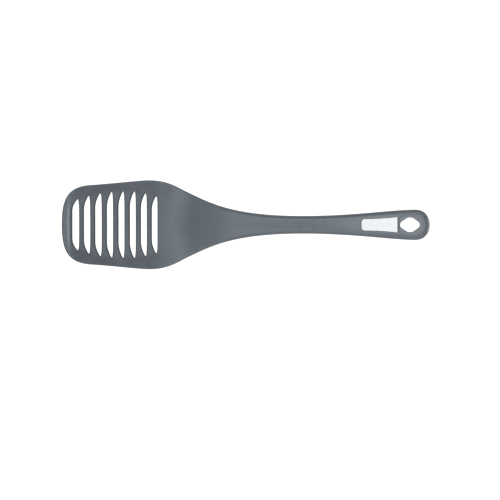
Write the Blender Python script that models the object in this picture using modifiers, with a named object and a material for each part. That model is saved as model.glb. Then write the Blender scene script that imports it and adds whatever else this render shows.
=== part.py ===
"""Slotted nylon turner: a one-piece moulded body with an inlaid label plate.

Frame: +X runs from the blade towards the handle, +Y across the blade, +Z up.
The origin is on the flat underside of the blade, at the middle of the bar
between the fourth and the fifth slot, so the blade rests on the plane Z = 0.
"Front" is the blade's end (-X), "back" the handle's end (+X).
All constants are millimetres unless they say otherwise.
"""

import math

import bpy
import bmesh
import numpy as np
from mathutils import Matrix

MM = 0.001

# ---------------------------------------------------------------------- body
# Half outline of the body seen from above, as Bezier knots:
# (x, half width, direction in degrees, handle before, handle after)
OUTLINE = (
    (-51.7, 0.0, 90.0, 0.0, 23.0),     # middle of the front edge
    (-23.0, 37.3, 3.0, 24.0, 14.5),    # end of the big front corner
    (31.0, 41.5, 0.0, 8.0, 19.0),      # widest place of the blade
    (70.5, 29.1, -24.0, 14.0, 22.0),   # flank of the shoulder
    (177.5, 8.0, 0.0, 65.0, 44.0),     # narrowest place of the neck
    (276.0, 13.5, 0.0, 20.0, 11.5),    # widest place of the handle
    (288.8, 0.0, -90.0, 3.0, 0.0),     # end of the handle
)
FRONT_X = OUTLINE[0][0]
END_X = OUTLINE[-1][0]

# Rise of the centre line: (x, slope in degrees). The blade is flat up to 24 mm.
SLOPE = ((-60, 0), (24, 0), (40, 4), (52, 10), (64, 17), (76, 20.5), (90, 20.5), (116, 15),
         (156, 10), (196, 7), (236, 3.5), (268, 0), (296, -3))
# The line where the blade turns up is bent forward in the middle: lag per mm2 of offset,
# fading out between two places along X.
SHOULDER_BOW = 0.0075
SHOULDER_FADE = (60, 112)

BLADE_THICKNESS = 2.6
# Thickness on the centre line, and the part of it that the edge zone has: (x, thickness)
THICKNESS = ((-60, BLADE_THICKNESS), (36, BLADE_THICKNESS), (50, 3.0), (64, 4.0), (84, 5.9),
             (108, 7.4), (136, 8.4), (171, 9.0), (256, 9.6), (290, 9.0))
EDGE_THICKNESS = ((-60, BLADE_THICKNESS), (50, BLADE_THICKNESS), (64, 3.0), (84, 4.2),
                  (108, 6.2), (136, 7.7), (171, 8.5), (256, 9.1), (290, 8.7))
# Width of the rounding along each long edge, as seen from above: (x, width)
EDGE_ROUND = ((-60, 1.1), (36, 1.2), (56, 2.0), (81, 3.2), (111, 4.2), (141, 4.2),
              (179, 4.0), (236, 4.6), (270, 5.4), (290, 5.4))
EDGE_ROUND_LIMIT = 0.92   # largest share of the half width that the rounding takes
END_ROUND = 4.2           # length of the rounding at the end of the handle

# Planar chisel bevel on top of the front edge; its crest curves back towards the sides.
BEVEL_CREST_X = -45.5
BEVEL_CREST_BOW = 0.0019  # setback of the crest per mm2 of offset
BEVEL_SLOPE = math.radians(17.5)
BEVEL_REACH = 3           # the bevel is applied up to this far behind the crest's middle
BEVEL_MIN_THICKNESS = 0.05

# Where the points of a cross section lie: angles in degrees along the edge rounding,
# then shares of the width between the rounding and the centre line.
ROUND_ANGLES = (0, 22, 45, 68, 90)
FLAT_SHARES = (0.75, 0.5, 0.25)

# Stations along X, close together where the outline turns fastest.
FRONT_OFFSETS = (0.12, 0.35, 0.7, 1.2, 1.9, 2.8, 3.9, 5.2, 6.7, 8.5, 10.6, 13.0, 16.0, 20.0,
                 25.0, 31.0, 38.0, 46.0, 55.0, 63.0, 69.0)   # behind the front edge
END_OFFSETS = (10.6, 9.0, 7.6, 6.3, 5.1, 4.0, 3.0, 2.1, 1.4, 0.8, 0.35, 0.1)  # before the end
STATIONS = (
    *(FRONT_X + offset for offset in FRONT_OFFSETS),
    *np.arange(21.0, 100.0, 4.0),
    *np.arange(102.0, 262.0, 8.0),
    262.0, 268.0, 272.5, 276.0,
    *(END_X - offset for offset in END_OFFSETS),
)

# --------------------------------------------------------------------- slots
# (front side, back side, half length)
SLOTS = ((-41.4, -34.6, 23.9), (-30.3, -24.1, 26.9), (-19.6, -13.2, 29.3),
         (-8.5, -2.5, 30.6), (2.4, 8.3, 30.9), (13.2, 19.0, 31.0),
         (23.6, 29.4, 29.1), (33.9, 39.5, 26.4))
# The next values but the radius are shares of the slot's width or half length.
SLOT_STRAIGHT = 0.53      # straight share of the front side of a slot
SLOT_CURVE_END = 0.93     # share of the curved front side that gets points before the tip
SLOT_TIP = 0.78           # where the tip lies across the slot
SLOT_BACK_BOW = 0.07      # how far the back side closes in towards the tip
SLOT_TIP_RADIUS = 0.45
SLOT_TIP_SETBACK = 0.1    # shoulder point behind the tip, as a share of the width
SLOT_TIP_DROP = 0.35      # and short of the tip, as a share of the tip radius
SLOT_CUTTER_HEIGHT = 24
SLOT_CUTTER_Z = 2

# Hang hole: a diamond, a little blunter towards the end of the handle, with rounded corners.
HOLE_X = 271.5            # where the hole is widest
HOLE_REACH = (10.5, 11.6)  # sharp corners, towards the end and towards the blade
HOLE_HALF = 7.86          # sharp corners at the sides
HOLE_ROUND = (3.2, 6.5, 3.4, 6.5)  # radii at the end, side, blade and side corners
HOLE_ROUND_STEPS = 8
HOLE_CUTTER_HEIGHT = 40
HOLE_CUTTER_DROP = 5      # middle of the cutter below the top of the handle

# --------------------------------------------------------------- label plate
# Half outline as Bezier knots like the body's, with a straight wide end towards the hole.
BADGE_OUTLINE = (
    (228.8, 0.0, 90.0, 0.0, 4.2),
    (232.3, 4.97, 1.0, 3.0, 9.0),
    (260.1, 6.65, 7.0, 9.0, 0.0),
)
BADGE_STEP = 0.85         # spacing of the points along the plate's outline
BADGE_THICKNESS = 1.2
BADGE_EDGE = 0.2
FILM_THICKNESS = 0.3
FILM_INSET = 0.7
CLEARANCE = 0.3
RECESS_DEPTH = BADGE_THICKNESS + CLEARANCE + FILM_THICKNESS + CLEARANCE
RECESS_OVERSHOOT = 8      # height of the recess cutter above the handle's top


# ------------------------------------------------------------ curve geometry
def monotone(table, x):
    """Smooth interpolation through the table that never overshoots its values."""
    knots, values = np.array(table, float).T
    gaps = np.diff(knots)
    slopes = np.diff(values) / gaps
    tangents = np.zeros_like(knots)
    tangents[0], tangents[-1] = slopes[0], slopes[-1]
    for i in range(1, len(knots) - 1):
        if slopes[i - 1] * slopes[i] > 0:
            before = 2 * gaps[i] + gaps[i - 1]
            after = gaps[i] + 2 * gaps[i - 1]
            tangents[i] = (before + after) / (before / slopes[i - 1] + after / slopes[i])
    i = np.clip(np.searchsorted(knots, x) - 1, 0, len(gaps) - 1)
    t = (x - knots[i]) / gaps[i]
    return (values[i] * (1 + 2 * t) * (1 - t) ** 2
            + tangents[i] * gaps[i] * t * (1 - t) ** 2
            + values[i + 1] * t * t * (3 - 2 * t)
            + tangents[i + 1] * gaps[i] * t * t * (t - 1))


def direction(degrees):
    return np.array([math.cos(math.radians(degrees)), math.sin(math.radians(degrees))])


def bezier_chain(knots, steps):
    """Points along a chain of cubic Bezier arcs."""
    t = np.linspace(0, 1, steps)[:, None]
    arcs = []
    for (x0, y0, angle0, _, after), (x1, y1, angle1, before, _) in zip(knots, knots[1:]):
        start, stop = np.array([x0, y0]), np.array([x1, y1])
        leave = start + after * direction(angle0)
        arrive = stop - before * direction(angle1)
        arc = ((1 - t) ** 3 * start + 3 * (1 - t) ** 2 * t * leave
               + 3 * (1 - t) * t ** 2 * arrive + t ** 3 * stop)
        arcs.append(arc[1:] if arcs else arc)
    return np.concatenate(arcs)


def running_sum(steps):
    return np.concatenate([[0.0], np.cumsum(steps)])


def round_corners(corners, radii, steps):
    """Polygon with each corner replaced by an arc of its radius."""
    points = []
    for i, radius in enumerate(radii):
        corner = np.array(corners[i], float)
        back = np.array(corners[i - 1], float) - corner
        ahead = np.array(corners[(i + 1) % len(corners)], float) - corner
        back, ahead = back / np.linalg.norm(back), ahead / np.linalg.norm(ahead)
        half = math.acos(float(np.clip(back @ ahead, -1, 1))) / 2
        inward = (back + ahead) / np.linalg.norm(back + ahead)
        centre = corner + inward * radius / math.sin(half)
        start = corner + back * radius / math.tan(half) - centre
        stop = corner + ahead * radius / math.tan(half) - centre
        first = math.atan2(start[1], start[0])
        turn = math.atan2(stop[1], stop[0]) - first
        turn = (turn + math.pi) % (2 * math.pi) - math.pi
        for k in range(steps + 1):
            angle = first + turn * k / steps
            points.append((centre[0] + radius * math.cos(angle),
                           centre[1] + radius * math.sin(angle)))
    return points


# ---------------------------------------------------------------- body shape
HALF_OUTLINE = bezier_chain(OUTLINE, 400)
RISE_X = np.linspace(-60, 296, 3561)
RISE_TAN = np.tan(np.radians(monotone(SLOPE, RISE_X)))
RISE_Z = running_sum((RISE_TAN[1:] + RISE_TAN[:-1]) / 2 * np.diff(RISE_X))


def underside(x):
    """Height of the underside on the centre line."""
    return np.interp(x, RISE_X, RISE_Z)


def top_height(x):
    """Height of the top on the centre line."""
    return float(underside(x) + monotone(THICKNESS, x))


def quarter(share):
    """Height of a quarter round at the share of its width from the edge."""
    return np.sqrt(1 - (1 - np.clip(share, 0, 1)) ** 2)


def shoulder_lag(x, y):
    start, stop = SHOULDER_FADE
    t = min(max((x - start) / (stop - start), 0.0), 1.0)
    return SHOULDER_BOW * y * y * (1 - t * t * (3 - 2 * t))


def section(x):
    """Closed ring of (y, z) around the body at x, from the +Y rim over the top and back below."""
    half = float(np.interp(x, HALF_OUTLINE[:, 0], HALF_OUTLINE[:, 1]))
    round_width = min(float(monotone(EDGE_ROUND, x)), EDGE_ROUND_LIMIT * half)
    thick = float(monotone(THICKNESS, x))
    edge = float(monotone(EDGE_THICKNESS, x))
    closing = float(quarter((END_X - x) / END_ROUND))

    side = [half - round_width * (1 - math.cos(a)) for a in np.radians(ROUND_ANGLES)]
    side += [(half - round_width) * share for share in FLAT_SHARES]
    ys = np.array(side + [0.0] + [-y for y in reversed(side)])

    floor = underside(x - shoulder_lag(x, ys))
    middle = floor + edge / 2
    height = edge / 2 * quarter((half - np.abs(ys)) / round_width) * closing
    crown = (thick - edge) * (1 - (ys / half) ** 2) ** 2 * closing
    top = middle + height + crown
    bottom = middle - height

    if x < BEVEL_CREST_X + BEVEL_REACH:
        crest = BEVEL_CREST_X + BEVEL_CREST_BOW * ys * ys
        bevel = floor + BLADE_THICKNESS - np.maximum(crest - x, 0) * math.tan(BEVEL_SLOPE)
        top = np.minimum(top, np.maximum(bevel, bottom + BEVEL_MIN_THICKNESS))
        # top and bottom share the rim point, so it follows the bevel as well
        top[0] = top[-1] = min(middle[0], (top[1] + bottom[1]) / 2)
    return list(zip(ys, top)) + list(zip(ys[-2:0:-1], bottom[-2:0:-1]))


# ------------------------------------------------------------ scene helpers
def material(name, colour, roughness):
    mat = bpy.data.materials.new(name)
    mat.use_nodes = True
    bsdf = mat.node_tree.nodes["Principled BSDF"]
    bsdf.inputs["Base Color"].default_value = (*colour, 1.0)
    bsdf.inputs["Roughness"].default_value = roughness
    mat.diffuse_color = (*colour, 1.0)
    return mat


def new_collection(name):
    collection = bpy.data.collections.new(name)
    bpy.context.scene.collection.children.link(collection)
    return collection


def extruded_outline(name, points, thickness, placement, collection):
    """A flat closed outline as a 2D curve, extruded both ways, made into a welded mesh."""
    curve = bpy.data.curves.new(name, "CURVE")
    curve.dimensions = "2D"
    curve.fill_mode = "BOTH"
    curve.extrude = thickness / 2 * MM
    spline = curve.splines.new("POLY")
    spline.points.add(len(points) - 1)
    for point, (x, y) in zip(spline.points, points):
        point.co = (x * MM, y * MM, 0, 1)
    spline.use_cyclic_u = True
    helper = bpy.data.objects.new(name + "_curve", curve)
    collection.objects.link(helper)
    bpy.context.view_layer.update()
    graph = bpy.context.evaluated_depsgraph_get()
    mesh = bpy.data.meshes.new_from_object(helper.evaluated_get(graph))
    bpy.data.objects.remove(helper)

    mesh.name = name
    bm = bmesh.new()
    bm.from_mesh(mesh)
    bmesh.ops.remove_doubles(bm, verts=bm.verts, dist=1e-6)
    bmesh.ops.recalc_face_normals(bm, faces=bm.faces)
    bm.to_mesh(mesh)
    bm.free()
    obj = bpy.data.objects.new(name, mesh)
    collection.objects.link(obj)
    obj.matrix_world = placement
    return obj


def cut(target, name, points, height, placement, collection):
    """Subtracts an extruded outline, which stays in the scene as a hidden helper."""
    cutter = extruded_outline(name, points, height, placement, collection)
    cutter.hide_render = True
    cutter.display_type = "WIRE"
    modifier = target.modifiers.new("cut_" + name, "BOOLEAN")
    modifier.operation = "DIFFERENCE"
    modifier.solver = "EXACT"
    modifier.object = cutter


# -------------------------------------------------------------------- pieces
def build_body(collection, nylon):
    """A loft from the flat blade to the oval handle."""
    bm = bmesh.new()
    rings = [[bm.verts.new((x * MM, y * MM, z * MM)) for y, z in section(x)] for x in STATIONS]
    count = len(rings[0])
    for first, second in zip(rings, rings[1:]):
        for i in range(count):
            j = (i + 1) % count
            bm.faces.new((first[i], first[j], second[j], second[i]))
    bm.faces.new(rings[0])
    bm.faces.new(list(reversed(rings[-1])))
    bmesh.ops.recalc_face_normals(bm, faces=bm.faces)
    mesh = bpy.data.meshes.new("spatula_body")
    bm.to_mesh(mesh)
    bm.free()
    body = bpy.data.objects.new("spatula_body", mesh)
    collection.objects.link(body)
    mesh.shade_smooth()
    mesh.set_sharp_from_angle(angle=math.radians(30))
    mesh.materials.append(nylon)
    return body


def slot_outline(front, back, half):
    """D-shaped slot: a bowed back side and a front side that curves in to both tips."""
    width = back - front
    tip_x = front + SLOT_TIP * width
    straight = SLOT_STRAIGHT * half
    back_side = [(back - SLOT_BACK_BOW * width * t * t, t * (half - SLOT_TIP_RADIUS))
                 for t in np.linspace(-1, 1, 13)]
    # the +Y tip and the front side down to its straight part, then the same mirrored
    tip_side = [(tip_x + SLOT_TIP_SETBACK * width, half - SLOT_TIP_DROP * SLOT_TIP_RADIUS),
                (tip_x, half)]
    tip_side += [(front + (tip_x - front) * t * t, straight + t * (half - straight))
                 for t in np.linspace(SLOT_CURVE_END, 0, 7)]
    return back_side + tip_side + [(x, -y) for x, y in reversed(tip_side)]


def cut_slots(body, cutters):
    placement = Matrix.Translation((0, 0, SLOT_CUTTER_Z * MM))
    for number, slot in enumerate(SLOTS, 1):
        cut(body, f"slot_cutter_{number}", slot_outline(*slot), SLOT_CUTTER_HEIGHT,
            placement, cutters)


def cut_hang_hole(body, cutters):
    """Straight through the end of the handle."""
    to_end, to_blade = HOLE_REACH
    corners = [(to_end, 0), (0, HOLE_HALF), (-to_blade, 0), (0, -HOLE_HALF)]
    middle_z = top_height(HOLE_X) - HOLE_CUTTER_DROP
    cut(body, "hang_hole_cutter", round_corners(corners, HOLE_ROUND, HOLE_ROUND_STEPS),
        HOLE_CUTTER_HEIGHT, Matrix.Translation((HOLE_X * MM, 0, middle_z * MM)), cutters)


def badge_outline(offset):
    """Full outline of the label plate, grown by the offset."""
    fine = bezier_chain(BADGE_OUTLINE, 120)
    along = running_sum(np.hypot(*np.diff(fine, axis=0).T))
    marks = np.linspace(0, along[-1], round(along[-1] / BADGE_STEP) + 1)
    half = [(np.interp(m, along, fine[:, 0]), np.interp(m, along, fine[:, 1])) for m in marks]
    points = np.array(half + [(x, -y) for x, y in reversed(half[1:])])
    edges = np.roll(points, -1, axis=0) - points
    normals = np.stack([-edges[:, 1], edges[:, 0]], axis=1)
    normals /= np.linalg.norm(normals, axis=1)[:, None]
    # normals[i - 1] and normals[i] belong to the edges that meet at points[i]
    return [tuple(point + (normals[i - 1] + normals[i])
                  / (1 + float(normals[i - 1] @ normals[i])) * offset)
            for i, point in enumerate(points)]


def on_handle_top(top, thickness):
    """Placement of a flat piece with its upper side at the height top above the handle's top.

    The label plate, its film and their recess share this tilted plane.
    """
    front, back = BADGE_OUTLINE[0][0], BADGE_OUTLINE[-1][0]
    front_z, back_z = top_height(front), top_height(back)
    tilt = math.atan2(back_z - front_z, back - front)
    centre_x = (front + back) / 2
    centre_z = (front_z + back_z) / 2
    return (Matrix.Translation((centre_x * MM, 0, centre_z * MM))
            @ Matrix.Rotation(-tilt, 4, "Y")
            @ Matrix.Translation((-centre_x * MM, 0, (top - thickness / 2) * MM)))


def cut_badge_recess(body, cutters):
    height = RECESS_DEPTH + RECESS_OVERSHOOT
    cut(body, "badge_recess_cutter", badge_outline(CLEARANCE), height,
        on_handle_top(RECESS_OVERSHOOT, height), cutters)


def build_badge(collection, label):
    badge = extruded_outline("handle_badge", badge_outline(0), BADGE_THICKNESS,
                             on_handle_top(0, BADGE_THICKNESS), collection)
    badge.data.materials.append(label)
    edge = badge.modifiers.new("soft_edge", "BEVEL")
    edge.width = BADGE_EDGE * MM
    edge.segments = 2
    edge.limit_method = "ANGLE"
    edge.angle_limit = math.radians(60)


def build_film(collection, film):
    """The adhesive film below the label plate."""
    tape = extruded_outline("badge_adhesive", badge_outline(-FILM_INSET), FILM_THICKNESS,
                            on_handle_top(-BADGE_THICKNESS - CLEARANCE, FILM_THICKNESS),
                            collection)
    tape.data.materials.append(film)


def build_turner():
    parts = new_collection("slotted_turner")
    cutters = new_collection("cutters")
    nylon = material("slate_nylon", colour=(0.085, 0.098, 0.111), roughness=0.45)
    label = material("label_white", colour=(0.86, 0.87, 0.89), roughness=0.3)
    film = material("clear_film", colour=(0.80, 0.78, 0.70), roughness=0.5)

    body = build_body(parts, nylon)
    cut_slots(body, cutters)
    cut_hang_hole(body, cutters)
    cut_badge_recess(body, cutters)
    build_badge(parts, label)
    build_film(parts, film)
    bpy.context.view_layer.update()


for old in list(bpy.data.objects):
    bpy.data.objects.remove(old)
build_turner()
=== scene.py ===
"""Slotted nylon turner: a one-piece moulding with a label plate let into its handle.

It lies along X with its underside towards -Z: the blade's chisel edge is at the front (-X), the
handle's hang hole at the back (+X), and the plan is mirrored about y = 0. Shapes are worked out in
millimetres, the scene is in metres.
"""

import math

import bmesh
import bpy
import numpy as np
from mathutils import Matrix, Vector
from mathutils.geometry import delaunay_2d_cdt


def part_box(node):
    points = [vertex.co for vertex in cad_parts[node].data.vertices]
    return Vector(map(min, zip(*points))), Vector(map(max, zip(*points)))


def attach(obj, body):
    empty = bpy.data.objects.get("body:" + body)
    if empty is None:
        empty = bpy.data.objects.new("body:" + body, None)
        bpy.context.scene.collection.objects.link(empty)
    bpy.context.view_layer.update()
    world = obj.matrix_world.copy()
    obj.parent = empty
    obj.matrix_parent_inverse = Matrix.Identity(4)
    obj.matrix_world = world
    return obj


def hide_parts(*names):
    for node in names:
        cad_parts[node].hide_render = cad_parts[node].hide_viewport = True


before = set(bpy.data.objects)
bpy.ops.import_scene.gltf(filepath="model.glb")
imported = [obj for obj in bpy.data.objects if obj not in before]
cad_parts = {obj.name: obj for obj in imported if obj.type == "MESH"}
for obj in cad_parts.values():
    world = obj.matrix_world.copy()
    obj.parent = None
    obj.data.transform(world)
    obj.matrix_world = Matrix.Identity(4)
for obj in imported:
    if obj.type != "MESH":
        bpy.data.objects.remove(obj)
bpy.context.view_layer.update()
MM = 0.001

# ------------------------------------------------------------------ dimensions
# Half outline as Bezier knots: x, y, heading in degrees, handle length before and after the knot
OUTLINE = (
    (-51.7, 0.0, 90.0, 0.0, 23.0),
    (-23.0, 37.3, 3.0, 24.0, 14.5),
    (31.0, 41.5, 0.0, 8.0, 19.0),
    (70.5, 29.1, -24.0, 14.0, 22.0),
    (177.5, 8.0, 0.0, 65.0, 44.0),
    (276.0, 13.5, 0.0, 20.0, 11.5),
    (288.8, 0.0, -90.0, 3.0, 0.0),
)
OUTLINE_TRIM, BOX_MARGIN = 0.03, 0.005
# Spacing of the outline's points: x from, x to, spacing
OUTLINE_SPACING = ((-math.inf, -24, 0.55), (-24, 262, 0.9), (262, math.inf, 0.5))

# Stations along the tool: x, value
BLADE = 2.6
SLOPE = ((-60, 0), (24, 0), (40, 4), (52, 10), (64, 17), (76, 20.5), (90, 20.5), (116, 15),
         (156, 10), (196, 7), (236, 3.5), (268, 0), (296, -3))  # of the underside, degrees
THICKNESS = ((-60, BLADE), (36, BLADE), (50, 3.0), (64, 4.0), (84, 5.9), (108, 7.4),
             (136, 8.4), (171, 9.0), (256, 9.6), (290, 9.0))  # on the middle line
EDGE_THICKNESS = ((-60, BLADE), (50, BLADE), (64, 3.0), (84, 4.2), (108, 6.2),
                  (136, 7.7), (171, 8.5), (256, 9.1), (290, 8.7))
EDGE_ROUND = ((-60, 1.1), (38, 1.2), (56, 2.0), (81, 3.2), (111, 4.2), (141, 4.2),
              (179, 4.0), (236, 4.6), (270, 5.4), (290, 5.4))  # width of the rounded edge
ROUND_LIMIT = 0.93  # share of the half width that the rounding may take
SHOULDER_BOW, SHOULDER_FADE = 0.0075, (60, 112)

# Chisel at the front: its crest line bows with y squared and is a narrow round
CREST_X, CREST_BOW, CREST_TAN, CREST_SOFT = -45.5, 0.0033, math.tan(math.radians(17.5)), 0.34
CHISEL_END, CHISEL_FADE, CHISEL_THINNEST = -30, (-41.5, -36), 0.62

# Slots: front x, back x, half length across the blade
SLOTS = ((-41.4, -34.6, 23.9), (-30.3, -24.1, 26.9), (-19.6, -13.2, 29.3),
         (-8.5, -2.5, 30.6), (2.4, 8.3, 30.9), (13.2, 19.0, 31.0),
         (23.6, 29.4, 29.1), (33.9, 39.5, 26.4))
# Straight share of the half length, place of the tips between front and back
SLOT_STRAIGHT, SLOT_TIP, SLOT_TIP_ROUND, SLOT_TRIM = 0.53, 0.77, 0.6, 0.1
SLOT_TOP_FILLET, SLOT_LOW_FILLET = 0.9, 0.4
SLOT_BREAK = 1.25  # power of the slots' edge profile; 1 is a flat 45 degrees

# Hang hole: a diamond with reaches to the back and front, and the radii of its corners
HOLE_X, HOLE_REACH, HOLE_HALF = 271.5, (10.5, 11.6), 7.86
HOLE_ROUND = (3.2, 6.5, 3.4, 6.5)
HOLE_FILLET, HOLE_ARC_STEPS, HOLE_SPACING = 0.7, 12, 0.55
# Eye-shaped dish round the hole; a lower power makes it more pointed
DISH_X, DISH_LONG, DISH_WIDE, DISH_POWER = 270.2, 13.3, 9.5, 1.85
DISH_DEPTH, DISH_WALL, DISH_FADE = 0.55, 1.1, (260.5, 262.0)

# Label plate, same columns as OUTLINE, and its recess in the handle
BADGE_OUTLINE = (
    (228.8, 0.0, 90.0, 0.0, 4.2),
    (232.3, 4.97, 1.0, 3.0, 9.0),
    (260.1, 6.65, 7.0, 9.0, 0.0),
)
BADGE_FRONT, BADGE_BACK = BADGE_OUTLINE[0][0], BADGE_OUTLINE[-1][0]
BADGE_THICKNESS, CLEARANCE, FILM = 1.2, 0.3, 0.3
RECESS_CORNER, RECESS_FILLET = 0.15, 0.28
# The recess is shifted so that the gap round the plate is widest at the front
RECESS_SHIFT = np.array([-0.11, -0.08])
PLATE_GROW, PLATE_FILLET = 0.08, 0.16
PLATE_PROUD, PLATE_SINK = 0.35, 0.02  # most above the plate's plane, below the handle's top
BORDER_INSET, BORDER_WIDTH, RELIEF = 1.0, 0.16, 0.07
MARK_X, MARK_LONG, MARK_WIDE, MARK_POWER, MARK_LINE = 244.6, 3.6, 2.4, 1.25, 0.1
BAR_START, BAR_PITCH, BAR_WIDTH, BAR_FADE = 6.6, 1.7, 0.26, (1.5, 2.0)

# Mesh: depths of the rings inside the outline, shares of a fillet's width
OUT_STEPS = (0.015, 0.06, 0.14, 0.26, 0.42, 0.62, 0.86, 1.15, 1.5)
FILLET = (0.0, 0.04, 0.12, 0.24, 0.4, 0.58, 0.78, 1.0)
RIM_REACH, WALL_STEP, SHARP_ANGLE = 1.1, 0.9, math.radians(30)
# Spacing of the interior points: x from, x to, step
TOP_CELLS = ((-51.5, -42.0, 0.42), (-42.0, 60.0, 0.95), (60.0, 150.0, 1.15),
             (150.0, 226.0, 1.0), (226.0, 289.0, 0.6))
LOW_CELLS = ((-51.5, 60.0, 1.3), (60.0, 289.0, 1.2))
ROW_PITCH = 0.87  # distance between staggered rows as a share of the step
PLATE_CELL, PLATE_ROWS_END, PLATE_ROWS_HALF = 0.24, 260.0, 7.2
TOP, LOW = 0, 1


# --------------------------------------------------------------- plan geometry
def monotone(table, x):
    """Smooth interpolation through the table that never overshoots."""
    knots, values = np.array(table, float).T
    gap = np.diff(knots)
    rise = np.diff(values) / gap
    slope = np.zeros_like(knots)
    slope[0], slope[-1] = rise[0], rise[-1]
    for i in range(1, len(knots) - 1):
        if rise[i - 1] * rise[i] > 0:
            before, after = 2 * gap[i] + gap[i - 1], gap[i] + 2 * gap[i - 1]
            slope[i] = (before + after) / (before / rise[i - 1] + after / rise[i])
    x = np.asarray(x, float)
    i = np.clip(np.searchsorted(knots, x) - 1, 0, len(gap) - 1)
    t = (x - knots[i]) / gap[i]
    return (values[i] * (1 + 2 * t) * (1 - t) ** 2 + slope[i] * gap[i] * t * (1 - t) ** 2
            + values[i + 1] * t * t * (3 - 2 * t) + slope[i + 1] * gap[i] * t * t * (t - 1))


def heading(degrees):
    return np.array([math.cos(math.radians(degrees)), math.sin(math.radians(degrees))])


def bezier_chain(knots, steps):
    points = []
    for (x0, y0, turn0, _, after), (x1, y1, turn1, before, _) in zip(knots, knots[1:]):
        start, end = np.array([x0, y0]), np.array([x1, y1])
        leave = start + after * heading(turn0)
        arrive = end - before * heading(turn1)
        t = np.linspace(0, 1, steps)[:, None]
        arc = ((1 - t) ** 3 * start + 3 * (1 - t) ** 2 * t * leave
               + 3 * (1 - t) * t ** 2 * arrive + t ** 3 * end)
        points.append(arc[1:] if points else arc)
    return np.concatenate(points)


def resample(line, spacing):
    """Evenly spaced points along a line, ends kept."""
    along = np.concatenate([[0.0], np.cumsum(np.hypot(*np.diff(line, axis=0).T))])
    marks = np.linspace(0, along[-1], max(2, round(along[-1] / spacing) + 1))
    return np.column_stack([np.interp(marks, along, line[:, axis]) for axis in (0, 1)])


def segment_distance(points, loop, batch=2000):
    """Distance from each point to a closed loop."""
    side = np.roll(loop, -1, axis=0) - loop
    size = np.maximum((side ** 2).sum(1), 1e-12)
    out = np.empty(len(points))
    for start in range(0, len(points), batch):
        offset = points[start:start + batch, None, :] - loop[None]
        t = np.clip((offset * side).sum(2) / size, 0, 1)
        nearest = ((offset - t[..., None] * side) ** 2).sum(2).min(1)
        out[start:start + batch] = np.sqrt(nearest)
    return out


def inside(points, loop, batch=4000):
    """Is each point inside the closed loop?"""
    a, b = loop, np.roll(loop, -1, axis=0)
    out = np.zeros(len(points), bool)
    for start in range(0, len(points), batch):
        x, y = points[start:start + batch].T[:, :, None]
        crosses = (a[:, 1] > y) != (b[:, 1] > y)
        with np.errstate(divide="ignore", invalid="ignore"):
            at = a[:, 0] + (y - a[:, 1]) * (b[:, 0] - a[:, 0]) / (b[:, 1] - a[:, 1])
        out[start:start + batch] = (crosses & (x < at)).sum(1) % 2 == 1
    return out


def wrap(angle):
    """The same angle between -pi and pi."""
    return (angle + math.pi) % (2 * math.pi) - math.pi


class Loop:
    """A closed anticlockwise loop that can be offset. side +1 offsets outwards, -1 inwards.
    Going outwards, a corner sharper than fan becomes a fan, so that its offset is an arc."""

    def __init__(self, points, side, fan=0.35, fan_step=0.25):
        base, normal = [], []
        for i, here in enumerate(points):
            arriving = here - points[i - 1]
            leaving = points[(i + 1) % len(points)] - here
            angle = math.atan2(-arriving[0], arriving[1])
            turn = wrap(math.atan2(-leaving[0], leaving[1]) - angle)
            if side > 0 and turn > fan:
                steps = max(3, round(turn / fan_step))
                for k in range(steps + 1):
                    ray = angle + turn * k / steps
                    base.append(here)
                    normal.append((math.cos(ray), math.sin(ray)))
            else:
                ray, scale = angle + turn / 2, 1 / max(0.3, math.cos(turn / 2))
                base.append(here)
                normal.append((side * scale * math.cos(ray), side * scale * math.sin(ray)))
        self.base, self.normal = np.array(base), np.array(normal)

    def at(self, offset):
        return self.base + self.normal * offset


HALF = bezier_chain(OUTLINE, 400)
RISE_X = np.linspace(-60, 296, 3561)
RISE_TAN = np.tan(np.radians(monotone(SLOPE, RISE_X)))
RISE_STEPS = (RISE_TAN[1:] + RISE_TAN[:-1]) / 2 * np.diff(RISE_X)
RISE_Z = np.concatenate([[0.0], np.cumsum(RISE_STEPS)])


def underside(x):
    return np.interp(x, RISE_X, RISE_Z)


def half_width(x):
    return np.interp(x, HALF[:, 0], HALF[:, 1])


def smooth(x, low, high):
    t = np.clip((x - low) / (high - low), 0, 1)
    return t * t * (3 - 2 * t)


# ------------------------------------------------------------------- the loops
def body_loop():
    fine = bezier_chain(OUTLINE, 1500)
    parts = [resample(fine[(fine[:, 0] >= x0) & (fine[:, 0] <= x1)], spacing)
             for x0, x1, spacing in OUTLINE_SPACING]
    half = np.concatenate([parts[0]] + [part[1:] for part in parts[1:]])
    line = Loop(np.concatenate([half * [1, -1], half[::-1][1:-1]]), -1).at(OUTLINE_TRIM)
    # a hair inside the CAD's own extent on every side
    low, high = [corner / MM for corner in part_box("spatula_body")]
    x, y = line.T
    ends = (low.x + BOX_MARGIN, high.x - BOX_MARGIN)
    line[:, 0] = np.interp(x, (x.min(), x.max()), ends)
    line[:, 1] *= min(1.0, (high.y - BOX_MARGIN) / y.max())
    return Loop(line, -1)


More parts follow.
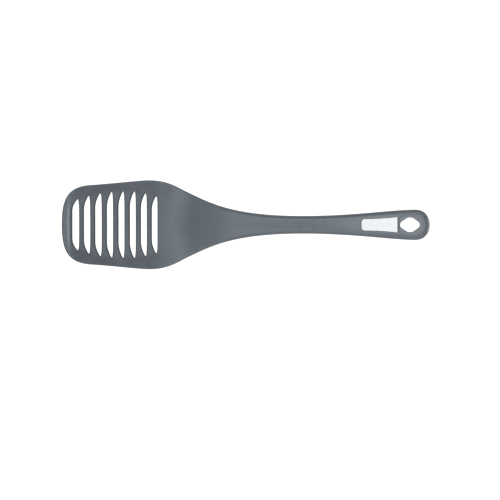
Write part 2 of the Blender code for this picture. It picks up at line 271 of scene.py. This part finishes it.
def slot_loop(front, back, half):
    """D inset by the rounding of its tips; offsetting it by that rounding gives the opening."""
    front, back = front + SLOT_TRIM, back - SLOT_TRIM
    tip_x = front + SLOT_TIP * (back - front)
    front_x, back_x = front + SLOT_TIP_ROUND, back - SLOT_TIP_ROUND
    reach, straight = half - SLOT_TIP_ROUND, SLOT_STRAIGHT * half
    t = np.linspace(-1, 1, 71)
    # a gentle bow that turns sharply at the tips
    rear = np.column_stack([back_x - (back_x - tip_x) * (0.2 * t ** 2 + 0.8 * t ** 10), t * reach])
    t = np.linspace(1, 0, 21)
    upper = np.column_stack([front_x + (tip_x - front - SLOT_TIP_ROUND) * t ** 2,
                             straight + t * (reach - straight)])
    middle = np.column_stack([np.full(33, front_x), np.linspace(straight, -straight, 33)])
    lower = upper[::-1] * [1, -1]
    return Loop(np.concatenate([rear, upper[1:], middle[1:], lower[1:-1]]), 1)


def round_corners(corners, radii, steps):
    """Polygon with each corner replaced by an arc of its radius."""
    out = []
    for i, radius in enumerate(radii):
        corner = np.array(corners[i], float)
        a = np.array(corners[i - 1], float) - corner
        b = np.array(corners[(i + 1) % len(corners)], float) - corner
        a, b = a / np.linalg.norm(a), b / np.linalg.norm(b)
        half = math.acos(float(np.clip(a @ b, -1, 1))) / 2
        centre = corner + (a + b) / np.linalg.norm(a + b) * radius / math.sin(half)
        start = corner + a * radius / math.tan(half) - centre
        stop = corner + b * radius / math.tan(half) - centre
        first = math.atan2(start[1], start[0])
        turn = wrap(math.atan2(stop[1], stop[0]) - first)
        for k in range(steps + 1):
            angle = first + turn * k / steps
            out.append((centre[0] + radius * math.cos(angle),
                        centre[1] + radius * math.sin(angle)))
    return np.array(out)


def hole_loop():
    corners = [(HOLE_REACH[0], 0), (0, HOLE_HALF), (-HOLE_REACH[1], 0), (0, -HOLE_HALF)]
    points = round_corners(corners, HOLE_ROUND, HOLE_ARC_STEPS) + [HOLE_X, 0]
    full = []
    for here, after in zip(points, np.roll(points, -1, axis=0)):
        parts = max(1, round(float(np.hypot(*(after - here))) / HOLE_SPACING))
        full += [here + (after - here) * k / parts for k in range(parts)]
    return Loop(np.array(full), 1)


def plate_outline(grow, spacing):
    """Closed outline of the label plate, grown with its corners kept sharp."""
    half = resample(bezier_chain(BADGE_OUTLINE, 200), spacing)
    end = np.column_stack([np.full(21, BADGE_BACK), np.linspace(-half[-1, 1], half[-1, 1], 21)])
    line = np.concatenate([half * [1, -1], end[1:-1], half[::-1][:-1]])
    return Loop(line, 1, fan=math.inf).at(grow)


BODY = body_loop()
HOLE = hole_loop()
SLOT_LOOPS = [slot_loop(*slot) for slot in SLOTS]
RECESS = Loop(plate_outline(CLEARANCE - RECESS_CORNER, 0.45), 1)
RECESS.base = RECESS.base + RECESS_SHIFT
PLATE_LINE = plate_outline(PLATE_GROW, 0.3)
OUTER = BODY.at(0)


# --------------------------------------------------------------------- heights
def crest_line(y):
    return CREST_X + CREST_BOW * y * y


def heights(points, edge_distance=None, dish=True):
    """Top and bottom of the body over plan points, before the fillets of its openings."""
    x, y = points[:, 0], points[:, 1]
    inset = segment_distance(points, OUTER) if edge_distance is None else edge_distance
    # the turned-up line lags behind at the sides
    floor = underside(x - SHOULDER_BOW * y * y * (1 - smooth(x, *SHOULDER_FADE)))
    edge = monotone(EDGE_THICKNESS, x)
    width = np.maximum(half_width(x), 0.1)
    crown = (monotone(THICKNESS, x) - edge) * np.clip(1 - (y / width) ** 2, 0, 1) ** 2
    fall = (crest_line(y) - x) * CREST_TAN
    fall = np.where(x < CHISEL_END, 0.5 * (fall + np.sqrt(fall ** 2 + CREST_SOFT ** 2)), 0.0)
    thick = np.maximum(edge - fall * (1 - smooth(x, *CHISEL_FADE)), CHISEL_THINNEST)
    middle = floor + thick / 2
    rounding = np.minimum(monotone(EDGE_ROUND, x), ROUND_LIMIT * np.maximum(width, inset))
    lift = np.sqrt(1 - (1 - np.clip(inset / rounding, 0, 1)) ** 2)
    top = middle + thick / 2 * lift + crown * lift
    bottom = middle - thick / 2 * lift
    if dish:
        along, across = np.abs(x - DISH_X) / DISH_LONG, np.abs(y) / DISH_WIDE
        radius = (along ** DISH_POWER + across ** DISH_POWER) ** (1 / DISH_POWER)
        sunk = DISH_DEPTH * smooth((1 - radius) * DISH_WIDE, 0.0, DISH_WALL)
        top = top - sunk * smooth(x, *DISH_FADE)
    return top, bottom


def plate_plane(points):
    """The plane of the label plate, through the handle's top at both ends of the plate."""
    front, back = (float(underside(x) + monotone(THICKNESS, x)) for x in (BADGE_FRONT, BADGE_BACK))
    return front + (back - front) * (points[:, 0] - BADGE_FRONT) / (BADGE_BACK - BADGE_FRONT)


def plate_mark(points):
    """Mark on the plate: a small diamond outline with three bars at each side."""
    x, y = points[:, 0], points[:, 1]
    along, across = np.abs(x - MARK_X) / MARK_LONG, np.abs(y) / MARK_WIDE
    radius = (along ** MARK_POWER + across ** MARK_POWER) ** (1 / MARK_POWER)
    mark = np.exp(-((radius - 1.0) / MARK_LINE) ** 2)
    for side in (-1, 1):
        for k in range(3):
            away = np.abs(x - MARK_X - side * (BAR_START + BAR_PITCH * k))
            mark += np.exp(-(away / BAR_WIDTH) ** 2) * (1 - smooth(np.abs(y), *BAR_FADE))
    return mark


def plate_top(points):
    """Upper side of the plate: the handle's top with a sunk border and the raised mark."""
    handle = heights(points, dish=False)[TOP]
    z = np.minimum(handle, plate_plane(points) + PLATE_PROUD) - PLATE_SINK
    edge = segment_distance(points, PLATE_LINE)
    z -= RELIEF * np.exp(-((edge - BORDER_INSET) / BORDER_WIDTH) ** 2)
    return z + RELIEF * plate_mark(points)


# ---------------------------------------------------------------- mesh builder
def round_profile(share):
    """Drop of a quarter round, as shares of its radius."""
    return 1 - math.sqrt(1 - (1 - share) ** 2)


def broken_profile(share):
    """Drop of an edge broken at about 45 degrees."""
    return (1 - share) ** SLOT_BREAK


class Builder:
    """Collects rings of points, given as (indices, xy), and the faces between them."""

    def __init__(self):
        self.points, self.faces, self.edge_wear_and_painted_shade = [], [], []
        self.count = 0

    def add(self, xy, z, edge_wear_and_painted_shade=0.0):
        size = len(xy)
        self.points.append(np.column_stack([xy, np.broadcast_to(z, size)]))
        self.edge_wear_and_painted_shade.append(np.broadcast_to(float(edge_wear_and_painted_shade), size))
        self.count += size
        return np.arange(self.count - size, self.count)

    def bridge(self, a, b):
        for i in range(len(a)):
            j = (i + 1) % len(a)
            self.faces.append((a[i], a[j], b[j], b[i]))

    def fillet(self, loop, start, radius, surface, profile=round_profile, sign=1, edge_wear_and_painted_shade=1.0,
               previous=None):
        """Rings from the wall out to the surface, sunk below it for sign +1, above it for -1.
        Gives the wall's ring with its heights, and the ring on the surface."""
        wall = None
        for share in FILLET:
            xy = loop.at(start + share * radius)
            z = surface(xy) - sign * radius * profile(share)
            ring = self.add(xy, z, (1 - share) * edge_wear_and_painted_shade)
            if wall is None:
                wall = (ring, xy, z)
            if previous is not None:
                self.bridge(previous, ring)
            previous = ring
        return wall, (ring, xy)

    def fill(self, outer, holes=(), extra=np.zeros((0, 2)), z=()):
        """Triangulates between a ring and its holes; extra points with heights z lie inside."""
        rings = [outer, *holes]
        coords = np.concatenate([xy for _, xy in rings] + [extra])
        edges, start = [], 0
        for _, xy in rings:
            size = len(xy)
            edges += [(start + i, start + (i + 1) % size) for i in range(size)]
            start += size
        flat, _, triangles, origins, _, _ = delaunay_2d_cdt(
            [Vector(c) for c in coords], edges, [], 0, 1e-7)
        flat = np.array([(v.x, v.y) for v in flat])
        names = np.concatenate([ring for ring, _ in rings] + [self.add(extra, z)])
        index = np.array([names[origin[0]] for origin in origins])
        triangles = np.array([t for t in triangles if len(t) == 3])
        middle = flat[triangles].mean(1)
        keep = inside(middle, outer[1])
        for _, xy in holes:
            keep &= ~inside(middle, xy)
        self.faces += [tuple(index[t]) for t in triangles[keep]]

    def mesh(self, name, dirt_and_painted_light):
        """Mesh in metres, with two attributes for its material: edge wear with painted shade in the
        slots' edges and the recess, and dirt with painted light.
        """
        coords = np.concatenate(self.points) * MM
        mesh = bpy.data.meshes.new(name)
        faces = [tuple(int(i) for i in face) for face in self.faces]
        mesh.from_pydata(coords.tolist(), [], faces)
        for key, values in (("edge_wear_and_painted_shade", np.concatenate(self.edge_wear_and_painted_shade)), ("dirt_and_painted_light", dirt_and_painted_light(coords / MM))):
            layer = mesh.attributes.new(key, "FLOAT", "POINT")
            layer.data.foreach_set("value", values.astype(np.float32))
        mesh.validate()
        bm = bmesh.new()
        bm.from_mesh(mesh)
        bmesh.ops.recalc_face_normals(bm, faces=bm.faces)
        bm.to_mesh(mesh)
        bm.free()
        mesh.shade_smooth()
        mesh.set_sharp_from_angle(angle=SHARP_ANGLE)
        return mesh


def staggered(start, stop, step, span):
    """Rows of staggered points; span gives a row's lowest and highest y at its x."""
    rows = []
    for k, x in enumerate(np.arange(start, stop, step * ROW_PITCH)):
        low, high = span(x)
        y = np.arange(low + (step / 2 if k % 2 else 0), high, step)
        rows.append(np.column_stack([np.full(len(y), x), y]))
    return np.concatenate(rows)


def scatter(outer, holes, cells):
    """Staggered interior points of the body, clear of the outer loop and the holes."""
    parts = []
    for x0, x1, step in cells:
        def span(x):
            width = float(half_width(x))
            return -math.floor(width / step) * step, width
        parts.append(staggered(x0 + step / 2, x1, step, span))
    points = np.concatenate(parts)
    step = np.interp(points[:, 0], [cell[0] for cell in cells], [cell[2] for cell in cells])
    keep = inside(points, outer)
    points, step = points[keep], step[keep]
    keep = segment_distance(points, outer) > 0.5 * step
    points, step = points[keep], step[keep]
    for loop in holes:
        low, high = loop.min(0) - 1, loop.max(0) + 1
        near = np.all((points > low) & (points < high), axis=1)
        bad = np.zeros(len(points), bool)
        close = points[near]
        bad[near] = inside(close, loop) | (segment_distance(close, loop) < 0.45 * step[near])
        points, step = points[~bad], step[~bad]
    return points


# ------------------------------------------------------------------ the pieces
def painted_crest_highlight_and_frame_shade(points):
    """Above 0: share of painted highlight along the chisel's crest, most in its middle, on the
    upper side.
    Below 0: share of painted shade, a darker tone on the blade's frame round the slots' ends."""
    x, y, z = points.T
    painted_crest_highlight = np.exp(-((x - crest_line(y) - 0.5) / 1.0) ** 2)
    painted_crest_highlight = painted_crest_highlight * (1 - 0.9 * smooth(np.abs(y), 10, 28)) * (z > BLADE / 2) * (x < -35)
    ends = np.interp(x, [0.5 * (front + back) for front, back, _ in SLOTS],
                     [half for _, _, half in SLOTS])
    painted_frame_shade = 0.3 + 0.7 * smooth(np.abs(y) - ends, -3.0, 2.5)
    return painted_crest_highlight - painted_frame_shade * (1 - smooth(x, 34, 46)) * smooth(x, -46, -38)


def add_opening(b, loop, start, radii, profile, edge_wear_and_painted_shade):
    """Wall through the body with a fillet at each end; gives the rings on both surfaces."""
    walls, mouths = [], []
    for side, sign in ((TOP, 1), (LOW, -1)):
        wall, mouth = b.fillet(loop, start, radii[side], lambda xy: heights(xy)[side],
                               profile, sign, edge_wear_and_painted_shade)
        walls.append(wall)
        mouths.append(mouth)
    (previous, xy, z_up), (lower, _, z_low) = walls
    steps = max(1, int(np.ceil((z_up - z_low).max() / WALL_STEP)))
    for k in range(1, steps):
        ring = b.add(xy, z_up + (z_low - z_up) * k / steps)
        b.bridge(previous, ring)
        previous = ring
    b.bridge(previous, lower)
    return mouths


def add_recess(b):
    """Recess of the label plate, open upwards; gives its ring on the top."""
    # the recess's fillet and floor carry painted shade
    (wall, xy, _), mouth = b.fillet(RECESS, RECESS_CORNER, RECESS_FILLET,
                                    lambda xy: heights(xy)[TOP], edge_wear_and_painted_shade=-1.0)
    depth = BADGE_THICKNESS + 2 * CLEARANCE + FILM
    floor_ring = b.add(xy, plate_plane(xy) - depth, -1.0)
    b.bridge(wall, floor_ring)
    b.fill((floor_ring, xy))
    return mouth


def build_body():
    b = Builder()
    top, low = heights(OUTER, np.zeros(len(OUTER)))
    edge = b.add(OUTER, 0.5 * (top + low), 1.0)
    outermost = [(edge, OUTER), (edge, OUTER)]
    for depth in OUT_STEPS:
        xy = BODY.at(depth)
        for side, z in enumerate(heights(xy, np.full(len(xy), depth))):
            ring = b.add(xy, z, max(0.0, 1 - depth / RIM_REACH))
            b.bridge(outermost[side][0], ring)
            outermost[side] = (ring, xy)

    slot_radii = (SLOT_TOP_FILLET, SLOT_LOW_FILLET)
    # the slots' broken edges carry painted shade
    mouths = [add_opening(b, loop, SLOT_TIP_ROUND, slot_radii, broken_profile, edge_wear_and_painted_shade=-1.0)
              for loop in SLOT_LOOPS]
    mouths.append(add_opening(b, HOLE, 0.0, (HOLE_FILLET, HOLE_FILLET), round_profile, edge_wear_and_painted_shade=1.0))
    openings = [list(side) for side in zip(*mouths)]
    openings[TOP].append(add_recess(b))

    for side, cells in ((TOP, TOP_CELLS), (LOW, LOW_CELLS)):
        points = scatter(outermost[side][1], [xy for _, xy in openings[side]], cells)
        b.fill(outermost[side], openings[side], points, heights(points)[side])
    return b.mesh("turner_moulding", painted_crest_highlight_and_frame_shade)


def build_plate():
    b = Builder()
    lower = b.add(PLATE_LINE, plate_plane(PLATE_LINE) - BADGE_THICKNESS)
    _, outer = b.fillet(Loop(PLATE_LINE, -1), 0.0, PLATE_FILLET, plate_top, previous=lower)
    points = staggered(BADGE_FRONT, PLATE_ROWS_END, PLATE_CELL,
                       lambda x: (-PLATE_ROWS_HALF, PLATE_ROWS_HALF))
    points = points[inside(points, outer[1])]
    points = points[segment_distance(points, outer[1]) > 0.5 * PLATE_CELL]
    b.fill(outer, (), points, plate_top(points))
    b.fill((lower, PLATE_LINE))
    return b.mesh("label_plate", plate_mark)


# ------------------------------------------------------------------- materials
class Look:
    """Node tree of a material or world, with short ways to add nodes."""

    def __init__(self, owner):
        owner.use_nodes = True
        self.owner, self.tree = owner, owner.node_tree

    def feed(self, target, inputs):
        """Sets or links inputs; a tuple is an opaque colour."""
        for key, value in inputs.items():
            if isinstance(value, (int, float)):
                target.inputs[key].default_value = value
            elif isinstance(value, tuple):
                target.inputs[key].default_value = (*value, 1.0)
            else:
                self.tree.links.new(value, target.inputs[key])

    def node(self, kind, inputs=None, **settings):
        made = self.tree.nodes.new(kind)
        for key, value in settings.items():
            setattr(made, key, value)
        self.feed(made, inputs or {})
        return made

    def principled(self, inputs):
        self.feed(self.tree.nodes["Principled BSDF"], inputs)

    def coords(self):
        return self.node("ShaderNodeTexCoord").outputs["Object"]

    def attribute(self, name):
        return self.node("ShaderNodeAttribute", attribute_name=name).outputs["Fac"]

    def noise(self, coords, scale, detail=2.0, rough=0.5, distortion=0.0):
        return self.node("ShaderNodeTexNoise", {
            "Vector": coords, "Scale": scale, "Detail": detail, "Roughness": rough,
            "Distortion": distortion}).outputs["Fac"]

    def maths(self, operation, *values):
        inputs = dict(enumerate(values))
        return self.node("ShaderNodeMath", inputs, operation=operation).outputs[0]

    def above_zero(self, value):
        return self.maths("MAXIMUM", value, 0.0)

    def below_zero(self, value):
        return self.maths("MINIMUM", value, 0.0)

    def remap(self, value, source, target):
        return self.node("ShaderNodeMapRange", {
            "Value": value, "From Min": source[0], "From Max": source[1],
            "To Min": target[0], "To Max": target[1]}, clamp=True).outputs["Result"]

    def mix(self, share, a, b):
        inputs = {0: share, 6: a, 7: b}
        return self.node("ShaderNodeMix", inputs, data_type="RGBA").outputs[2]

    def bump(self, height, distance, **below):
        inputs = {"Height": height, "Distance": distance}
        bump = self.node("ShaderNodeBump", inputs)
        if below:
            self.feed(bump, {"Normal": below["normal"]})
        return bump.outputs["Normal"]


def nylon_material():
    look = Look(bpy.data.materials.new("slate_nylon_look"))
    coords = look.coords()
    cloud = look.noise(coords, scale=28, detail=3, rough=0.55)
    mottle = look.noise(coords, scale=210, detail=3, rough=0.6)
    speckle = look.noise(coords, scale=1150, rough=0.6)
    grain = look.noise(coords, scale=2600, rough=0.6)
    # fibres: noise stretched along the tool
    stretch = look.node("ShaderNodeMapping", {"Vector": coords})
    stretch.inputs["Scale"].default_value = (260, 2300, 2300)
    fibre = look.noise(stretch.outputs["Vector"], scale=1.0, rough=0.6, distortion=0.4)
    # edge wear with painted edge shade; painted crest highlight with painted frame shade, and on
    # the plate the mark's dirt
    edge_wear_and_painted_shade, dirt_and_painted_light = look.attribute("edge_wear_and_painted_shade"), look.attribute("dirt_and_painted_light")

    colour = look.mix(look.remap(cloud, source=(0.3, 0.7), target=(0, 1)),
                      (0.0440, 0.0520, 0.0610), (0.0500, 0.0580, 0.0670))
    for pattern, source, share, tint in (
            (mottle, (0.35, 0.7), 0.35, (0.0580, 0.0670, 0.0770)),
            (speckle, (0.35, 0.75), 0.5, (0.078, 0.090, 0.103)),
            (fibre, (0.62, 0.8), 0.28, (0.100, 0.112, 0.126))):
        colour = look.mix(look.remap(pattern, source, target=(0, share)), colour, tint)
    worn = look.maths("MULTIPLY", look.above_zero(edge_wear_and_painted_shade),
                      look.remap(mottle, source=(0.4, 0.65), target=(0.05, 0.4)))
    # painted shade in the broken edges of the slots and in the gap round the label plate
    painted_edge_shade = look.maths("MULTIPLY", look.below_zero(edge_wear_and_painted_shade), -0.75)
    # painted highlight along the chisel's crest, and painted shade on the blade's frame round the
    # slots' ends
    painted_crest_highlight = look.maths("MULTIPLY", look.above_zero(dirt_and_painted_light),
                       look.remap(grain, source=(0.3, 0.7), target=(0.6, 1.0)))
    painted_frame_shade = look.maths("MULTIPLY", look.below_zero(dirt_and_painted_light),
                      look.remap(cloud, source=(0.3, 0.7), target=(-0.65, -0.35)))
    # lighter worn edges, then painted shade in the broken edges and the plate's gap, a painted
    # highlight on the crest and painted shade on the frame
    for share, tint in ((worn, (0.090, 0.103, 0.118)), (painted_edge_shade, (0.016, 0.019, 0.023)),
                        (painted_crest_highlight, (0.150, 0.163, 0.180)), (painted_frame_shade, (0.020, 0.025, 0.031))):
        colour = look.mix(share, colour, tint)

    rough = look.maths("ADD", look.remap(mottle, source=(0.25, 0.75), target=(0.27, 0.35)),
                       look.remap(cloud, source=(0.3, 0.7), target=(-0.02, 0.02)))
    polish = look.maths("MULTIPLY", look.above_zero(edge_wear_and_painted_shade), 0.06)
    rough = look.maths("SUBTRACT", rough, polish)
    rough = look.maths("ADD", rough,
                       look.remap(speckle, source=(0.3, 0.7), target=(-0.025, 0.025)))

    swell = look.bump(look.noise(coords, scale=95), distance=0.00006)
    texture = look.maths("ADD", grain, look.maths("MULTIPLY", fibre, 0.6))
    look.principled({"Base Color": colour, "Roughness": rough, "IOR": 1.53,
                     "Specular Tint": (0.92, 0.965, 1.0),
                     "Normal": look.bump(texture, distance=0.000012, normal=swell)})
    return look.owner


def label_material():
    look = Look(bpy.data.materials.new("label_white_look"))
    coords = look.coords()
    cloud = look.noise(coords, scale=160, detail=3, rough=0.6)
    speck = look.noise(coords, scale=2200)
    colour = look.mix(look.remap(cloud, source=(0.35, 0.7), target=(0, 1)),
                      (0.462, 0.466, 0.470), (0.488, 0.491, 0.494))
    colour = look.mix(look.remap(speck, source=(0.62, 0.8), target=(0, 0.25)),
                      colour, (0.425, 0.430, 0.437))
    # a little dirt on the mark
    dirt = look.maths("MULTIPLY", look.attribute("dirt_and_painted_light"), 0.8)
    colour = look.mix(dirt, colour, (0.375, 0.383, 0.396))
    rough = look.maths("SUBTRACT", look.remap(cloud, source=(0.3, 0.7), target=(0.26, 0.38)),
                       look.maths("MULTIPLY", look.attribute("edge_wear_and_painted_shade"), 0.05))
    look.principled({"Base Color": colour, "Roughness": rough,
                     "Normal": look.bump(speck, distance=0.000006)})
    return look.owner


def film_material():
    look = Look(bpy.data.materials.new("clear_film_look"))
    cells = look.noise(look.coords(), scale=900, detail=3, rough=0.6)
    look.principled({"Base Color": look.mix(cells, (0.72, 0.70, 0.61), (0.86, 0.84, 0.76)),
                     "Roughness": look.remap(cells, source=(0.3, 0.7), target=(0.35, 0.6)),
                     "Normal": look.bump(cells, distance=0.00002)})
    return look.owner


def link_object(name, data):
    obj = bpy.data.objects.new(name, data)
    bpy.context.scene.collection.objects.link(obj)
    return obj


def place(mesh, material, cad):
    obj = link_object(mesh.name, mesh)
    mesh.materials.append(material)
    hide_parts(cad)
    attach(obj, "root")


place(build_body(), nylon_material(), "spatula_body")
place(build_plate(), label_material(), "handle_badge")
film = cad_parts["badge_adhesive"]
film.data.materials.clear()
film.data.materials.append(film_material())

# ----------------------------------------------- floor, light and camera, metres
FLOOR_HALF, FLOOR_Z = 6.0, -0.0002
FLOOR_GLOW, FLOOR_SPILL = 0.86, 0.35  # as seen by the camera, as it lights the tool
STUDIO_TINT = (0.97, 0.985, 1.0)
WALL_SEEN = 0.97  # brightness of the plain wall that the camera sees
# Brightness of the white studio walls: rings between these heights (sine of the elevation; it fades
# in from the first to the second and out to the third), seen towards +X, +Y, -X and -Y.
WALLS = (((-0.1, 0.1, 0.5), (0.45, 0.3, 0.0, 2.0)),
         ((0.2, 0.5, 0.77), (0.0, 1.15, 0.05, 1.25)),
         ((0.5, 0.77, 0.97), (0.35, 2.45, 2.45, 2.25)),
         ((0.77, 1.0, 9.0), (0.6, 0.6, 0.6, 0.6)))
# Name, place, size, brightness, turn about Y in degrees: 0 faces down, 90 faces -X
SOFTBOXES = (("softbox_over", (0.225, 0.0, 0.9), (0.45, 0.36), 4.0, 0),
             ("softbox_right", (0.60, 0.0, 0.9), (0.30, 0.36), 2.8, 0),
             ("softbox_back", (0.18, 0.36, 0.9), (0.36, 0.36), 2.4, 0),
             ("end_card", (0.40, 0.0, 0.03), (0.07, 0.11), 2.4, 90))
TARGET, DISTANCE = Vector((0.127406, 0, 0.020)), 1.2
LEAN = math.radians(5.0)  # of the camera's stand towards +X
DIP = -0.019132686  # radians; turns the view towards -Y
SENSOR, LENS = 36, 94.820904  # millimetres


def add_floor():
    mesh = bpy.data.meshes.new("floor")
    corners = [(x * FLOOR_HALF, y * FLOOR_HALF, FLOOR_Z)
               for x, y in ((-1, -1), (1, -1), (1, 1), (-1, 1))]
    mesh.from_pydata(corners, [], [(0, 1, 2, 3)])
    link_object("floor", mesh)
    look = Look(bpy.data.materials.new("floor_look"))
    look.tree.nodes.clear()
    seen = look.node("ShaderNodeLightPath").outputs["Is Camera Ray"]
    strength = look.remap(seen, source=(0, 1), target=(FLOOR_SPILL, FLOOR_GLOW))
    diffuse = look.node("ShaderNodeBsdfDiffuse", {"Color": (0.30, 0.30, 0.30)})
    glow = look.node("ShaderNodeEmission", {"Strength": strength})
    both = look.node("ShaderNodeAddShader", {0: diffuse.outputs[0], 1: glow.outputs[0]})
    # seen from below, the floor is clear
    sides = look.node("ShaderNodeMixShader", {
        0: look.node("ShaderNodeNewGeometry").outputs["Backfacing"],
        1: both.outputs[0],
        2: look.node("ShaderNodeBsdfTransparent").outputs[0]})
    look.node("ShaderNodeOutputMaterial", {"Surface": sides.outputs[0]})
    mesh.materials.append(look.owner)


def add_softbox(name, location, size, brightness, turn):
    light = bpy.data.lights.new(name, "AREA")
    light.shape = "RECTANGLE"
    light.size, light.size_y = size
    light.energy = brightness * math.pi * size[0] * size[1]
    light.color = STUDIO_TINT
    obj = link_object(name, light)
    obj.location = location
    obj.rotation_euler = (0.0, math.radians(turn), 0.0)
    obj.visible_camera = False


def add_studio():
    world = bpy.data.worlds.new("studio")
    bpy.context.scene.world = world
    look = Look(world)
    maths = look.maths
    generated = look.node("ShaderNodeTexCoord").outputs["Generated"]
    x, y, z = look.node("ShaderNodeSeparateXYZ", {0: generated}).outputs
    flat = maths("SQRT", maths("ADD", maths("MULTIPLY", x, x), maths("MULTIPLY", y, y)))
    flat = maths("MAXIMUM", flat, 0.001)
    along, across = maths("DIVIDE", x, flat), maths("DIVIDE", y, flat)
    directions = ((along, 1), (across, 1), (along, -1), (across, -1))
    total = None
    for (low, peak, high), sides in WALLS:
        around = sides[0]
        ring = maths("MULTIPLY", look.remap(z, source=(low, peak), target=(0, 1)),
                     look.remap(z, source=(peak, high), target=(1, 0)))
        if len(set(sides)) > 1:
            parts = [maths("MULTIPLY", look.above_zero(maths("MULTIPLY", axis, sign)), value)
                     for (axis, sign), value in zip(directions, sides)]
            around = maths("ADD", maths("ADD", *parts[:2]), maths("ADD", *parts[2:]))
        glow = maths("MULTIPLY", ring, around)
        total = glow if total is None else maths("ADD", total, glow)
    # the camera itself sees a plain white wall
    seen = look.node("ShaderNodeLightPath").outputs["Is Camera Ray"]
    total = maths("ADD", maths("MULTIPLY", total, maths("SUBTRACT", 1.0, seen)),
                  maths("MULTIPLY", seen, WALL_SEEN))
    look.feed(look.tree.nodes["Background"], {"Color": STUDIO_TINT, "Strength": total})


def add_camera():
    camera = bpy.data.cameras.new("camera")
    camera.sensor_width = SENSOR
    camera.lens = LENS
    camera.clip_start, camera.clip_end = 0.05, 20
    obj = link_object("camera", camera)
    back = Vector((math.sin(LEAN), 0, math.cos(LEAN)))
    right = Vector((math.cos(LEAN), 0, -math.sin(LEAN)))
    axis = Matrix.Rotation(DIP, 3, right) @ back
    turn = Matrix((right, axis.cross(right), axis)).transposed().to_4x4()
    obj.matrix_world = Matrix.Translation(TARGET + back * DISTANCE) @ turn
    bpy.context.scene.camera = obj


add_floor()
add_studio()
for softbox in SOFTBOXES:
    add_softbox(*softbox)
add_camera()
bpy.context.scene.view_settings.view_transform = "Standard"

bpy.context.view_layer.update()
